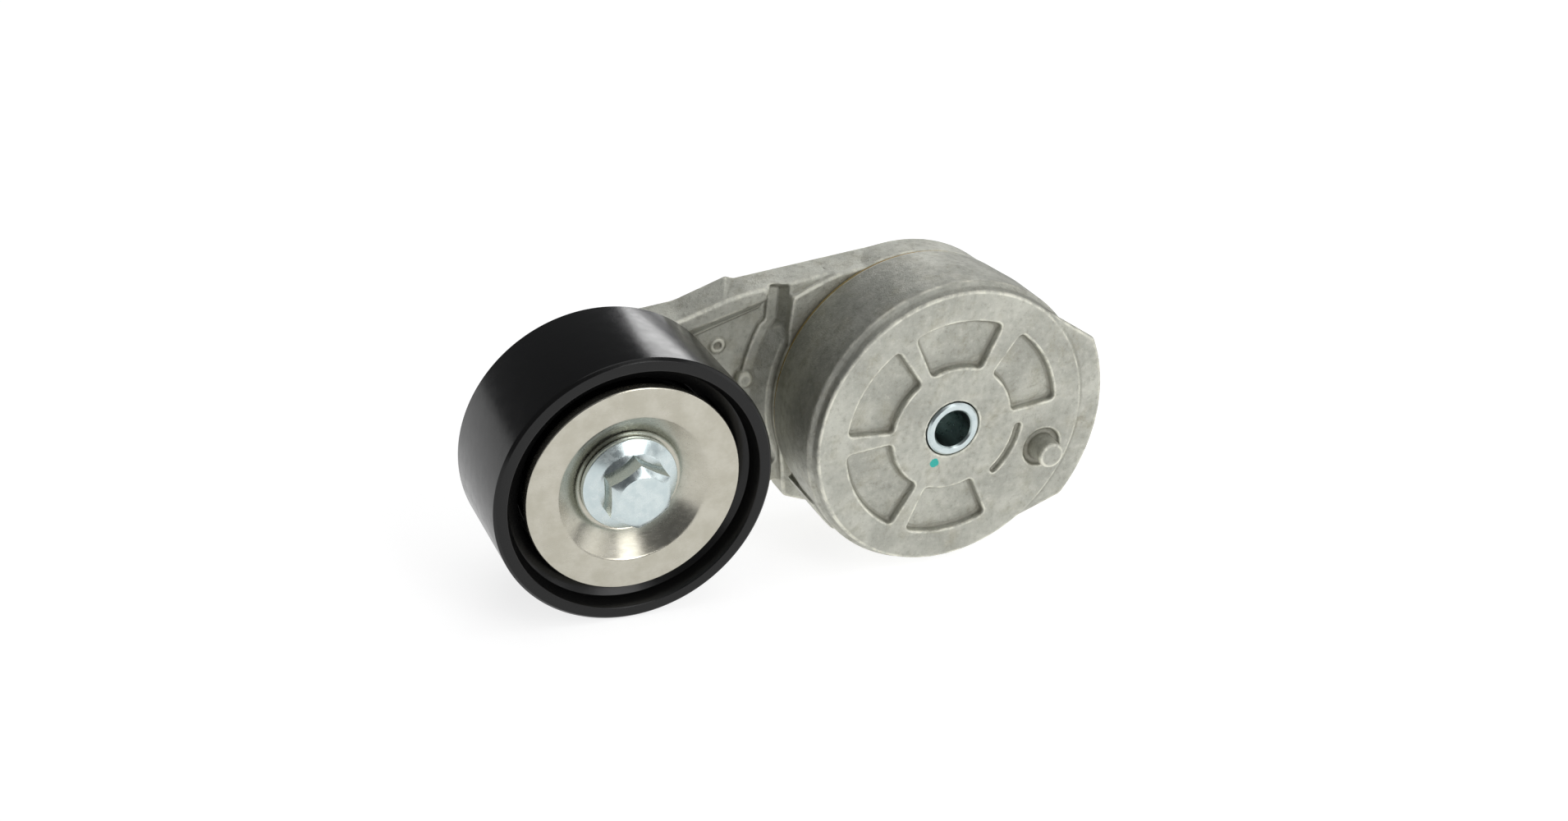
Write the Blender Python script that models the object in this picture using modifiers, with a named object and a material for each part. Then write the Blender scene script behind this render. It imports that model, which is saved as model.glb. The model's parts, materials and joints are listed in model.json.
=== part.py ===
"""Belt tensioner idler: a spring-loaded arm that presses an idler pulley on a belt.

A round spring case bolts to an engine through its centre sleeve. A cast arm swings on
the case's hollow post against a torsion spring, and carries a smooth idler pulley on
a ball bearing. Every piece is its own object.

The assembly is modelled lying on its back, in bench coordinates: X to the right and
Y up as seen from the front, Z towards the front. The empty "pivot_axis" then stands
it up, so that the front faces -Y. Depths are measured back from the mounting face.
"""
import math

import bmesh
import bpy
from mathutils import Matrix, Vector

MM = 0.001
GAP = 0.3 * MM                      # clearance between neighbouring pieces
MERGE = 0.005 * MM

# Layout
CENTRE_DISTANCE = 94.2 * MM         # pivot axis to pulley axis
ARM_ANGLE = math.radians(183.04)    # direction of the pulley axis at the free-arm stop
SWING = math.radians(60)            # arm travel, clockwise as seen from the front

# Spring case
CASE_RADIUS = 43.0 * MM
CASE_REAR_RADIUS = 41.7 * MM
FACE_RADIUS = 41.2 * MM
LEDGE_DEPTH = 3.6 * MM              # the chamfered ledge round the face ends here
CASE_DEPTH = 28.4 * MM
CHAMBER_RADIUS = 36.5 * MM
FLOOR_DEPTH = 6.0 * MM
POST_RADIUS = 13.5 * MM
SHOULDER_DEPTH = 41.1 * MM
SPIGOT_RADIUS = 11.0 * MM
SPIGOT_LENGTH = 3.7 * MM            # behind the shoulder
CLINCH_WIDTH = 1.6 * MM             # of the swaged ring that holds the retaining plate
POCKET_INNER = 18.7 * MM
POCKET_OUTER = 32.4 * MM
POCKET_DEPTH = 2.2 * MM
POCKET_SECTORS = ((10, 57), (70, 118), (128.5, 177.5), (188, 241), (251, 297))
LOBE_RADIUS = 48.7 * MM
LOBE_START, LOBE_END = -33.5, 28.5  # degrees
LOBE_FRONT, LOBE_BACK = 0.6 * MM, 9.6 * MM
LOBE_DRAFT = 4.5                    # share by which its outline shrinks per metre of depth
PIN_RADIUS = 4.0 * MM
PIN_HEIGHT = 5.8 * MM
PIN_PLACE = (32.0 * MM, -17.5)      # radius and angle in degrees
RELIEF_RADIUS = 6.0 * MM            # of the sunk ring round the pin
GROOVE_INNER, GROOVE_OUTER = 20.4 * MM, 22.4 * MM
GROOVE_START, GROOVE_END = -46, -3  # degrees
GROOVE_DEPTH = 1.2 * MM             # also the relief's
PAD_START, PAD_END = -148, -133     # degrees
PAD_FRONT, PAD_BACK = 7.0 * MM, 24.0 * MM
PAD_HEIGHT = 0.7 * MM

# Pivot
SLEEVE_RADIUS = 8.0 * MM
SLEEVE_BORE = 5.5 * MM
SLEEVE_FRONT, SLEEVE_BACK = -0.5 * MM, 46.0 * MM
TUBE_RADIUS = 20.0 * MM
TUBE_BORE = 16.2 * MM
TUBE_FRONT = 10.0 * MM
BUSHING_FRONT, BUSHING_BACK = 8.0 * MM, 38.4 * MM
WASHER_RADIUS = 23.5 * MM
WASHER_FRONT, WASHER_BACK = 38.8 * MM, 40.8 * MM
PLATE_RADIUS = 24.0 * MM
PLATE_BACK = 43.3 * MM
SEAM_INNER = 38.9 * MM
SHOE_BACK = 25.0 * MM
SHOE_START, SHOE_END = 20, 160      # degrees

# Travel stop and torsion spring
STOP_ANGLE = -60                    # degrees
STOP_HALF_WIDTH = 5                 # degrees
STOP_INNER, STOP_OUTER = 34.5 * MM, 38.2 * MM
STOP_CLEARANCE = 0.5                # degrees, 0.3 mm at the stop's radius
WIRE_RADIUS = 3.4 * MM
COIL_RADIUS = 27.7 * MM
COIL_TURNS = 2.5
COIL_START = 150                    # degrees
SEAT_GAP, SEAT_WIDTH = 2, 14        # degrees from the wire's end, and around the pivot
SEAT_HEIGHT = 7.0 * MM

# Arm
ARM_FRONT, ARM_BACK = 31.5 * MM, 41.0 * MM
HUB_FRONT = 29.7 * MM
HUB_RADIUS = 41.2 * MM
HUB_FLOOR = 33.0 * MM
HUB_RIM_INNER = 33.8 * MM
HUB_STEP_RADIUS = 25.0 * MM         # the recess for the thrust washer
HUB_STEP_DEPTH = 38.5 * MM
ARM_END_RADIUS = 29.0 * MM
WEB_FRONT, WEB_BACK = 36.0 * MM, 39.0 * MM
WEB_ARC = 37.7 * MM                 # the web starts at this radius from the pulley axis
HUB_WALL = 44.0 * MM
BOSS_RADIUS = 11.5 * MM
BOSS_FRONT = 22.05 * MM

# Pulley and bearing
PULLEY_RADIUS = 38.0 * MM
PULLEY_FRONT, PULLEY_BACK = -3.3 * MM, 30.2 * MM
BEARING_FRONT, BEARING_BACK = 6.45 * MM, 20.45 * MM
BEARING_OUTER, BEARING_BORE = 23.5 * MM, 8.5 * MM
SHELL_BORE = BEARING_OUTER + GAP
SHELL_HUB = 27.2 * MM               # outer radius of the pulley's inner hub
RIM_INNER = 34.4 * MM               # of the pulley's front face
RIM_CHAMFER = 0.75 * MM
WELL_RADIUS = 29.9 * MM             # the shield sits in this well
WELL_DEPTH = 12.0 * MM
SEAL_THICKNESS = 0.9 * MM
CAGE_HALF_DEPTH = 5.4 * MM
CAGE_HALF_THICKNESS = 0.9 * MM
SPACER_FRONT = 5.1 * MM
SPACER_FLANGE = 11.0 * MM
BALL_RADIUS = 4.0 * MM
PITCH_RADIUS = 16.0 * MM
BALL_COUNT = 8
SHIELD_RADIUS = 29.3 * MM
SHIELD_FRONT = -1.7 * MM
SHIELD_SHEET = 1.1 * MM
DISH_DEPTH = 3.7 * MM
REAR_SHIELD_RADIUS = 30.5 * MM
REAR_SHIELD_BACK = 25.3 * MM
REAR_SHIELD_SHEET = 1.0 * MM
BOLT_RADIUS = 6.0 * MM
BOLT_FLANGE = 13.1 * MM
BOLT_FLANGE_BACK = 3.4 * MM
BOLT_FLATS = 16.0 * MM
BOLT_HEAD_FRONT = -7.3 * MM
HEX_TURN = 32                       # degrees, the way the hexagon stands
BOLT_END = 42.0 * MM

PULLEY_CENTRE = (CENTRE_DISTANCE * math.cos(ARM_ANGLE), CENTRE_DISTANCE * math.sin(ARM_ANGLE))
BEARING_MIDDLE = (BEARING_FRONT + BEARING_BACK) / 2

# Materials: base colour, roughness, metallic
MATERIALS = {
    "cast_aluminium": ((0.55, 0.54, 0.50), 0.50, 1.0),
    "black_paint": ((0.012, 0.012, 0.013), 0.20, 0.0),
    "bright_steel": ((0.66, 0.64, 0.58), 0.30, 1.0),
    "zinc_plate": ((0.70, 0.76, 0.78), 0.28, 1.0),
    "bearing_steel": ((0.60, 0.60, 0.62), 0.20, 1.0),
    "spring_steel": ((0.10, 0.11, 0.13), 0.42, 1.0),
    "amber_nylon": ((0.42, 0.30, 0.12), 0.50, 0.0),
    "black_nylon": ((0.03, 0.03, 0.03), 0.60, 0.0),
    "seal_rubber": ((0.02, 0.02, 0.022), 0.75, 0.0),
}


# ---------------------------------------------------------------- outlines

def polar(radius, degrees, centre=(0.0, 0.0)):
    angle = math.radians(degrees)
    return (centre[0] + radius * math.cos(angle), centre[1] + radius * math.sin(angle))


def arc(radius, start, end, steps, centre=(0.0, 0.0)):
    """Points from start to end degrees, both included."""
    return [polar(radius, start + (end - start) * i / steps, centre) for i in range(steps + 1)]


def rounded(corners, steps=1):
    """A closed outline: each corner (x, y, radius) becomes an arc, (x, y) stays sharp."""
    outline = []
    for i, corner in enumerate(corners):
        here = Vector(corner[:2])
        radius = corner[2] if len(corner) > 2 else 0.0
        if radius <= 0.0:
            outline.append(tuple(here))
            continue
        before = (Vector(corners[i - 1][:2]) - here).normalized()
        after = (Vector(corners[(i + 1) % len(corners)][:2]) - here).normalized()
        half = before.angle(after) / 2
        centre = here + (before + after).normalized() * (radius / math.sin(half))
        first = here + before * (radius / math.tan(half)) - centre
        last = here + after * (radius / math.tan(half)) - centre
        turn = first.angle_signed(last)
        for k in range(steps + 1):
            spoke = Matrix.Rotation(-turn * k / steps, 2) @ first
            outline.append(tuple(centre + spoke))
    return outline


def sector(inner, outer, start, end, corner=0.0, steps=10):
    """A closed ring sector between two radii and two angles."""
    outer_arc = arc(outer, start, end, steps)
    inner_arc = arc(inner, end, start, max(2, steps // 2))
    corners = [(*point,) for point in outer_arc + inner_arc]
    for i in (0, steps, steps + 1, len(corners) - 1):
        corners[i] = (*corners[i], corner)
    return rounded(corners)


# ---------------------------------------------------------------- building blocks

def link(obj, centre=(0.0, 0.0)):
    obj.location = (centre[0], centre[1], 0.0)
    bpy.context.scene.collection.objects.link(obj)
    return obj


def bake(obj):
    """Turn an object's modifiers, or a curve, into a plain welded mesh."""
    bpy.context.view_layer.update()
    graph = bpy.context.evaluated_depsgraph_get()
    mesh = bpy.data.meshes.new_from_object(obj.evaluated_get(graph))
    body = bmesh.new()
    body.from_mesh(mesh)
    bmesh.ops.remove_doubles(body, verts=body.verts, dist=MERGE)
    body.to_mesh(mesh)
    body.free()
    if obj.type == "MESH":
        obj.modifiers.clear()
        obj.data = mesh
        return obj
    solid = bpy.data.objects.new(obj.name + "_solid", mesh)
    bpy.context.scene.collection.objects.link(solid)
    solid.matrix_world = obj.matrix_world
    bpy.data.objects.remove(obj)
    return solid


def turned(name, profile, steps=64, centre=(0.0, 0.0)):
    """Spin a closed profile of (radius, depth), outer side front to back, about Z."""
    mesh = bpy.data.meshes.new(name)
    points = [(radius, 0.0, -depth) for radius, depth in profile]
    on_axis = points[0][0] == 0.0 and points[-1][0] == 0.0
    count = len(points) - 1 if on_axis else len(points)
    mesh.from_pydata(points, [(i, (i + 1) % len(points)) for i in range(count)], [])
    obj = link(bpy.data.objects.new(name, mesh), centre)
    screw = obj.modifiers.new("spin", "SCREW")
    screw.steps = steps
    screw.render_steps = steps
    screw.use_merge_vertices = True
    screw.merge_threshold = MERGE
    return bake(obj)


def flat(name, outline, front, back, edge=0.0, centre=(0.0, 0.0)):
    """Extrude a closed outline between two depths, with an optional rounded edge."""
    curve = bpy.data.curves.new(name, "CURVE")
    curve.dimensions = "2D"
    curve.fill_mode = "BOTH"
    curve.extrude = (back - front) / 2 - edge
    curve.bevel_depth = edge
    curve.bevel_resolution = 1
    curve.offset = -edge
    spline = curve.splines.new("POLY")
    spline.points.add(len(outline) - 1)
    for point, (x, y) in zip(spline.points, outline):
        point.co = (x, y, 0.0, 1.0)
    spline.use_cyclic_u = True
    obj = link(bpy.data.objects.new(name, curve), centre)
    obj.location.z = -(front + back) / 2
    return bake(obj)


def boolean(obj, operation, tool):
    modifier = obj.modifiers.new(operation.lower(), "BOOLEAN")
    modifier.operation = operation
    modifier.object = tool
    bake(obj)
    bpy.data.objects.remove(tool)
    return obj


def cut(obj, tool):
    return boolean(obj, "DIFFERENCE", tool)


def join(obj, tool):
    return boolean(obj, "UNION", tool)


def disc(name, radius, front, back, steps=32, centre=(0.0, 0.0)):
    return turned(name, [(0.0, front), (radius, front), (radius, back), (0.0, back)], steps, centre)


def ring(name, inner, outer, front, back, steps=48, centre=(0.0, 0.0)):
    profile = [(inner, front), (outer, front), (outer, back), (inner, back)]
    return turned(name, profile, steps, centre)


def finish(obj, name, material, parent):
    """Name a piece, give it its material and hang it on its axis."""
    obj.name = name
    obj.data.name = name
    bpy.context.scene.collection.objects.unlink(obj)
    bpy.data.collections["belt_tensioner_idler"].objects.link(obj)
    obj.data.shade_smooth()
    obj.data.set_sharp_from_angle(angle=math.radians(30))
    obj.data.materials.clear()
    obj.data.materials.append(bpy.data.materials[material].copy())
    obj.data.materials[0].name = name
    obj.parent = parent
    if parent.parent is not None:
        obj.location.x -= parent.location.x
        obj.location.y -= parent.location.y
    return obj


# ---------------------------------------------------------------- spring case

def case_shell():
    spigot_back = SHOULDER_DEPTH + SPIGOT_LENGTH
    profile = rounded([
        (SLEEVE_RADIUS + GAP, 0.0),
        (FACE_RADIUS, 0.0, 0.5 * MM),
        (FACE_RADIUS + 0.5 * MM, 2.2 * MM, 0.5 * MM),
        (CASE_RADIUS, LEDGE_DEPTH, 0.8 * MM),
        (CASE_REAR_RADIUS, CASE_DEPTH, 0.4 * MM),
        (CHAMBER_RADIUS, CASE_DEPTH),
        (CHAMBER_RADIUS, FLOOR_DEPTH),
        (POST_RADIUS, FLOOR_DEPTH),
        (POST_RADIUS, SHOULDER_DEPTH),
        (SPIGOT_RADIUS, SHOULDER_DEPTH),
        (SPIGOT_RADIUS, spigot_back - 1.2 * MM),
        (SPIGOT_RADIUS + CLINCH_WIDTH, spigot_back - 1.1 * MM),
        (SPIGOT_RADIUS + CLINCH_WIDTH, spigot_back - 0.5 * MM),
        (SPIGOT_RADIUS, spigot_back),
        (SLEEVE_RADIUS + GAP, spigot_back),
    ])
    return turned("case", profile, steps=52)


def lobe():
    """The flange that carries the pin, drawn as an arc with two straight flanks."""
    inner = CHAMBER_RADIUS + 2 * MM
    corners = [polar(FACE_RADIUS, -54)]
    corners.append((*polar(LOBE_RADIUS, LOBE_START), 3 * MM))
    corners += arc(LOBE_RADIUS, LOBE_START + 6, LOBE_END - 6, 8)
    corners.append((*polar(LOBE_RADIUS, LOBE_END), 3 * MM))
    corners.append(polar(FACE_RADIUS + 0.4 * MM, 53))
    corners += arc(inner, 53, -54, 12)
    piece = flat("lobe", rounded(corners), LOBE_FRONT, LOBE_BACK, edge=0.8 * MM)
    for vertex in piece.data.vertices:
        depth = -(vertex.co.z + piece.location.z) - LOBE_FRONT
        shrink = 1 - LOBE_DRAFT * depth
        vertex.co.x *= shrink
        vertex.co.y *= shrink
    return piece


def foundry_pad():
    """A low pad on the case's side, where its mould was filled."""
    corners = arc(CASE_RADIUS + PAD_HEIGHT, PAD_START, PAD_END, 5)
    corners += arc(CHAMBER_RADIUS + 2 * MM, PAD_END, PAD_START, 3)
    return flat("pad", corners, PAD_FRONT, PAD_BACK, edge=0.6 * MM)


def locating_pin(centre):
    profile = rounded([
        (0.0, -PIN_HEIGHT),
        (PIN_RADIUS - 0.1 * MM, -PIN_HEIGHT, 0.6 * MM),
        (PIN_RADIUS, 3 * MM),
        (0.0, 3 * MM),
    ])
    return turned("pin", profile, steps=24, centre=centre)


def stop_block():
    outline = sector(STOP_INNER, STOP_OUTER, STOP_ANGLE - STOP_HALF_WIDTH,
                     STOP_ANGLE + STOP_HALF_WIDTH, steps=4)
    return flat("stop", outline, CASE_DEPTH - 2 * MM, HUB_FLOOR)


def spring_seat(angle, direction, front, back):
    """A block that takes the torsion spring's end, on the far side of that end."""
    near = angle + direction * SEAT_GAP
    far = near + direction * SEAT_WIDTH
    start, end = min(near, far), max(near, far)
    inner = COIL_RADIUS - WIRE_RADIUS + GAP
    outer = COIL_RADIUS + WIRE_RADIUS - GAP
    return flat("seat", sector(inner, outer, start, end, steps=4), front, back)


def make_spring_case(pivot):
    case = case_shell()
    case = join(case, lobe())
    join(case, foundry_pad())
    above = -1 * MM
    for start, end in POCKET_SECTORS:
        outline = sector(POCKET_INNER, POCKET_OUTER, start, end, corner=1.2 * MM)
        cut(case, flat("pocket", outline, above, POCKET_DEPTH))
    groove = sector(GROOVE_INNER, GROOVE_OUTER, GROOVE_START, GROOVE_END, corner=0.8 * MM, steps=8)
    cut(case, flat("groove", groove, above, GROOVE_DEPTH))
    pin_centre = polar(*PIN_PLACE)
    cut(case, disc("relief", RELIEF_RADIUS, above, GROOVE_DEPTH, centre=pin_centre))
    join(case, locating_pin(pin_centre))
    join(case, stop_block())
    join(case, spring_seat(COIL_START, -1, FLOOR_DEPTH - 1 * MM, FLOOR_DEPTH + SEAT_HEIGHT))
    finish(case, "spring_case", "cast_aluminium", pivot)


# ---------------------------------------------------------------- pivot pieces

def make_pivot_pieces(pivot):
    chamfer = 0.6 * MM
    sleeve = turned("sleeve", [
        (SLEEVE_BORE + chamfer, SLEEVE_FRONT),
        (SLEEVE_RADIUS - chamfer, SLEEVE_FRONT),
        (SLEEVE_RADIUS, SLEEVE_FRONT + chamfer),
        (SLEEVE_RADIUS, SLEEVE_BACK - chamfer),
        (SLEEVE_RADIUS - chamfer, SLEEVE_BACK),
        (SLEEVE_BORE + chamfer, SLEEVE_BACK),
        (SLEEVE_BORE, SLEEVE_BACK - chamfer),
        (SLEEVE_BORE, SLEEVE_FRONT + chamfer),
    ], steps=32)
    finish(sleeve, "pivot_sleeve", "zinc_plate", pivot)

    bushing = ring("bushing", POST_RADIUS + GAP, TUBE_BORE - GAP, BUSHING_FRONT, BUSHING_BACK)
    finish(bushing, "pivot_bushing", "amber_nylon", pivot)

    seam = ring("seam", SEAM_INNER, HUB_RADIUS - 0.1 * MM, CASE_DEPTH + GAP, HUB_FRONT - GAP,
                steps=52)
    finish(seam, "seam_ring", "amber_nylon", pivot)

    washer = ring("washer", POST_RADIUS + GAP, WASHER_RADIUS, WASHER_FRONT, WASHER_BACK)
    finish(washer, "thrust_washer", "amber_nylon", pivot)

    plate = turned("plate", rounded([
        (SPIGOT_RADIUS + GAP, SHOULDER_DEPTH + GAP),
        (PLATE_RADIUS, SHOULDER_DEPTH + GAP),
        (PLATE_RADIUS, PLATE_BACK, 0.6 * MM),
        (SPIGOT_RADIUS + GAP, PLATE_BACK),
    ]), steps=40)
    finish(plate, "retaining_plate", "zinc_plate", pivot)

    shoe_inner = COIL_RADIUS + WIRE_RADIUS + GAP
    shoe_outline = sector(shoe_inner, CHAMBER_RADIUS - GAP, SHOE_START, SHOE_END,
                          corner=0.8 * MM, steps=20)
    shoe = flat("shoe", shoe_outline, TUBE_FRONT, SHOE_BACK)
    finish(shoe, "damper_shoe", "black_nylon", pivot)


def make_torsion_spring(pivot):
    """A round-wire coil from the case's seat back to the arm's seat."""
    front = FLOOR_DEPTH + GAP + WIRE_RADIUS
    rise = HUB_FLOOR - GAP - WIRE_RADIUS - front
    steps = int(COIL_TURNS * 20)
    curve = bpy.data.curves.new("coil", "CURVE")
    curve.dimensions = "3D"
    curve.bevel_depth = WIRE_RADIUS
    curve.bevel_resolution = 2
    curve.use_fill_caps = True
    spline = curve.splines.new("POLY")
    spline.points.add(steps)
    for i, point in enumerate(spline.points):
        share = i / steps
        x, y = polar(COIL_RADIUS, COIL_START + 360 * COIL_TURNS * share)
        point.co = (x, y, -(front + rise * share), 1.0)
    coil = bake(link(bpy.data.objects.new("coil", curve)))
    finish(coil, "torsion_spring", "spring_steel", pivot)


# ---------------------------------------------------------------- arm

def arm_hub():
    profile = rounded([
        (HUB_RIM_INNER, HUB_FRONT),
        (HUB_RADIUS, HUB_FRONT, 0.4 * MM),
        (HUB_RADIUS - 0.5 * MM, ARM_BACK, 1.8 * MM),
        (HUB_STEP_RADIUS, ARM_BACK),
        (HUB_STEP_RADIUS, HUB_STEP_DEPTH),
        (TUBE_BORE, HUB_STEP_DEPTH),
        (TUBE_BORE, TUBE_FRONT),
        (TUBE_RADIUS, TUBE_FRONT),
        (TUBE_RADIUS, HUB_FLOOR),
        (HUB_RIM_INNER, HUB_FLOOR),
    ])
    return turned("hub", profile, steps=52)


def arm_outline():
    """The beam from the hub's tangent to the round end behind the pulley and back."""
    corners = [polar(HUB_RADIUS - 0.9 * MM, 97)]
    corners.append((-52.0 * MM, 33.0 * MM, 0.6 * MM))
    corners.append((-54.6 * MM, 33.8 * MM, 2 * MM))
    corners.append((-69.5 * MM, 27.9 * MM, 15 * MM))
    corners += arc(ARM_END_RADIUS, 98.6, 276, 18, PULLEY_CENTRE)
    corners.append((-36.0 * MM, -28.0 * MM))
    corners += arc(HUB_RADIUS - 5.5 * MM, 218, 97, 8)
    return rounded(corners, steps=3)


def web_outline():
    """The pocket between the pulley end's disc, the two edge ribs and the hub's wall."""
    corners = [(*polar(WEB_ARC, -35, PULLEY_CENTRE), 2 * MM)]
    corners += arc(WEB_ARC, -28, 38, 8, PULLEY_CENTRE)
    corners.append((*polar(WEB_ARC, 44.5, PULLEY_CENTRE), 1 * MM))
    corners.append((-40.2 * MM, 30.0 * MM, 1.5 * MM))
    corners.append((-40.2 * MM, 21.5 * MM, 2 * MM))
    corners += arc(HUB_WALL, 156, 204, 6)
    corners.append((*polar(HUB_WALL, 211), 2 * MM))
    return list(reversed(rounded(corners)))


def hub_block():
    """The thick shoulder where the top rib meets the hub."""
    corners = [
        polar(HUB_RADIUS - 1.0 * MM, 106),
        (-39.0 * MM, 33.8 * MM, 1 * MM),
        (-39.4 * MM, 21.9 * MM, 2 * MM),
        polar(HUB_RADIUS, 158),
    ]
    corners += arc(HUB_RADIUS - 2.5 * MM, 158, 106, 6)
    return flat("block", rounded(corners), HUB_FRONT, ARM_BACK - 2 * MM, edge=0.6 * MM)


def stop_lug():
    """The cast lug below the hub."""
    corners = [
        polar(HUB_RADIUS - 0.5 * MM, 200),
        (-35.0 * MM, -32.6 * MM, 1.5 * MM),
        (-27.2 * MM, -35.4 * MM, 1.5 * MM),
        polar(HUB_RADIUS - 0.5 * MM, 234),
    ]
    corners += arc(HUB_RADIUS - 2.5 * MM, 234, 200, 5)
    return flat("lug", rounded(corners), HUB_FRONT, ARM_BACK - 2.5 * MM, edge=0.6 * MM)


def pulley_boss():
    profile = rounded([
        (0.0, BOSS_FRONT),
        (BOSS_RADIUS, BOSS_FRONT, 0.5 * MM),
        (BOSS_RADIUS, 26.5 * MM, 2 * MM),
        (18.0 * MM, ARM_FRONT + 0.5 * MM),
        (16.5 * MM, ARM_BACK - 1 * MM),
        (12.5 * MM, ARM_BACK + 2 * MM, 1 * MM),
        (0.0, ARM_BACK + 2 * MM),
    ])
    return turned("boss", profile, steps=36, centre=PULLEY_CENTRE)


def stop_slot():
    """The groove in the hub's rim that the case's stop block travels in."""
    start = STOP_ANGLE - STOP_HALF_WIDTH - STOP_CLEARANCE
    end = STOP_ANGLE + STOP_HALF_WIDTH + STOP_CLEARANCE + math.degrees(SWING)
    outline = sector(STOP_INNER - 3 * MM, STOP_OUTER + 0.4 * MM, start, end, steps=14)
    return flat("slot", outline, HUB_FRONT - 1 * MM, HUB_FLOOR + 0.5 * MM)


def make_arm(pivot):
    arm = arm_hub()
    join(arm, flat("beam", arm_outline(), ARM_FRONT, ARM_BACK, edge=1.2 * MM))
    join(arm, hub_block())
    join(arm, stop_lug())
    cut(arm, flat("web_front", web_outline(), ARM_FRONT - 4 * MM, WEB_FRONT))
    cut(arm, flat("web_back", web_outline(), WEB_BACK, ARM_BACK + 2 * MM))
    join(arm, pulley_boss())
    bolt_hole = disc("bolt_hole", BOLT_RADIUS + GAP, BOSS_FRONT - 5 * MM, ARM_BACK + 5 * MM,
                     centre=PULLEY_CENTRE)
    cut(arm, bolt_hole)
    cut(arm, stop_slot())
    end_angle = COIL_START + 360 * COIL_TURNS
    join(arm, spring_seat(end_angle, 1, HUB_FLOOR - SEAT_HEIGHT, HUB_FLOOR + 1 * MM))
    finish(arm, "tensioner_arm", "cast_aluminium", pivot)


# ---------------------------------------------------------------- pulley

def make_pulley_shell(axle):
    """The belt's rim and the bearing's seat, joined by a web behind the shield's well."""
    clip_front, clip_back = 4.6 * MM, 6.4 * MM
    clip_floor = SHELL_BORE + 1.1 * MM
    lip = SHELL_BORE - 1.5 * MM
    shell = turned("shell", rounded([
        (RIM_INNER, PULLEY_FRONT, 0.3 * MM),
        (PULLEY_RADIUS - RIM_CHAMFER, PULLEY_FRONT),
        (PULLEY_RADIUS, PULLEY_FRONT + RIM_CHAMFER),
        (PULLEY_RADIUS, PULLEY_BACK, 1.0 * MM),
        (34.8 * MM, PULLEY_BACK),
        (34.4 * MM, 17.5 * MM, 2 * MM),
        (SHELL_HUB, 16.0 * MM),
        (SHELL_HUB, 22.0 * MM),
        (lip, 22.0 * MM),
        (lip, BEARING_BACK + GAP),
        (SHELL_BORE, BEARING_BACK + GAP),
        (SHELL_BORE, clip_back),
        (clip_floor, clip_back),
        (clip_floor, clip_front),
        (SHELL_BORE, clip_front),
        (SHELL_BORE, 3.2 * MM),
        (SHELL_HUB, 3.2 * MM),
        (SHELL_HUB, WELL_DEPTH + 0.4 * MM),
        (WELL_RADIUS, WELL_DEPTH),
        (WELL_RADIUS, 2.6 * MM),
        (33.1 * MM, 0.9 * MM),
    ]), steps=48, centre=PULLEY_CENTRE)
    finish(shell, "pulley_shell", "black_paint", axle)

    clip = ring("clip", SHELL_BORE - 2.2 * MM, clip_floor - GAP, clip_front + GAP, clip_back - GAP,
                centre=PULLEY_CENTRE)
    opening = sector(18 * MM, 30 * MM, 255, 285, steps=4)
    cut(clip, flat("opening", opening, 3 * MM, 8 * MM, centre=PULLEY_CENTRE))
    finish(clip, "bearing_circlip", "spring_steel", axle)


def raceway(steps, outward):
    """The groove's profile, front to back: an arc about the balls' pitch circle."""
    groove = BALL_RADIUS + GAP
    half = 41                                   # degrees either side of the groove's floor
    angles = [-half + 2 * half * i / steps for i in range(steps + 1)]
    side = 1 if outward else -1
    return [(PITCH_RADIUS + side * groove * math.cos(math.radians(a)),
             BEARING_MIDDLE + groove * math.sin(math.radians(a))) for a in angles]


def make_bearing(axle, carrier, turning_cage):
    chamfer = 0.6 * MM
    inner_land = raceway(4, outward=False)
    inner = turned("inner", [
        (BEARING_BORE, BEARING_FRONT),
        (inner_land[0][0], BEARING_FRONT),
        *inner_land,
        (inner_land[0][0], BEARING_BACK),
        (BEARING_BORE, BEARING_BACK),
    ], steps=36, centre=PULLEY_CENTRE)
    finish(inner, "bearing_inner_ring", "bearing_steel", carrier)

    outer_land = list(reversed(raceway(4, outward=True)))
    outer = turned("outer", [
        (outer_land[0][0], BEARING_FRONT),
        (BEARING_OUTER - chamfer, BEARING_FRONT),
        (BEARING_OUTER, BEARING_FRONT + chamfer),
        (BEARING_OUTER, BEARING_BACK - chamfer),
        (BEARING_OUTER - chamfer, BEARING_BACK),
        (outer_land[0][0], BEARING_BACK),
        *outer_land,
    ], steps=40, centre=PULLEY_CENTRE)
    finish(outer, "bearing_outer_ring", "bearing_steel", axle)

    seal_inner = inner_land[0][0] + GAP
    seal_outer = outer_land[0][0] - GAP
    for name, front in (("bearing_seal_front", BEARING_FRONT + GAP),
                        ("bearing_seal_rear", BEARING_BACK - GAP - SEAL_THICKNESS)):
        seal = ring(name, seal_inner, seal_outer, front, front + SEAL_THICKNESS,
                    steps=36, centre=PULLEY_CENTRE)
        finish(seal, name, "seal_rubber", axle)

    cage = ring("cage", PITCH_RADIUS - CAGE_HALF_THICKNESS, PITCH_RADIUS + CAGE_HALF_THICKNESS,
                BEARING_MIDDLE - CAGE_HALF_DEPTH, BEARING_MIDDLE + CAGE_HALF_DEPTH, steps=32,
                centre=PULLEY_CENTRE)
    for i in range(BALL_COUNT):
        place = polar(PITCH_RADIUS, 360 * (i + 0.5) / BALL_COUNT, PULLEY_CENTRE)
        cut(cage, ball("ball_pocket", BALL_RADIUS + GAP, place))
        finish(ball("ball", BALL_RADIUS, place), f"bearing_ball_{i + 1}", "bearing_steel",
               turning_cage)
    finish(cage, "ball_cage", "amber_nylon", turning_cage)


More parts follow.
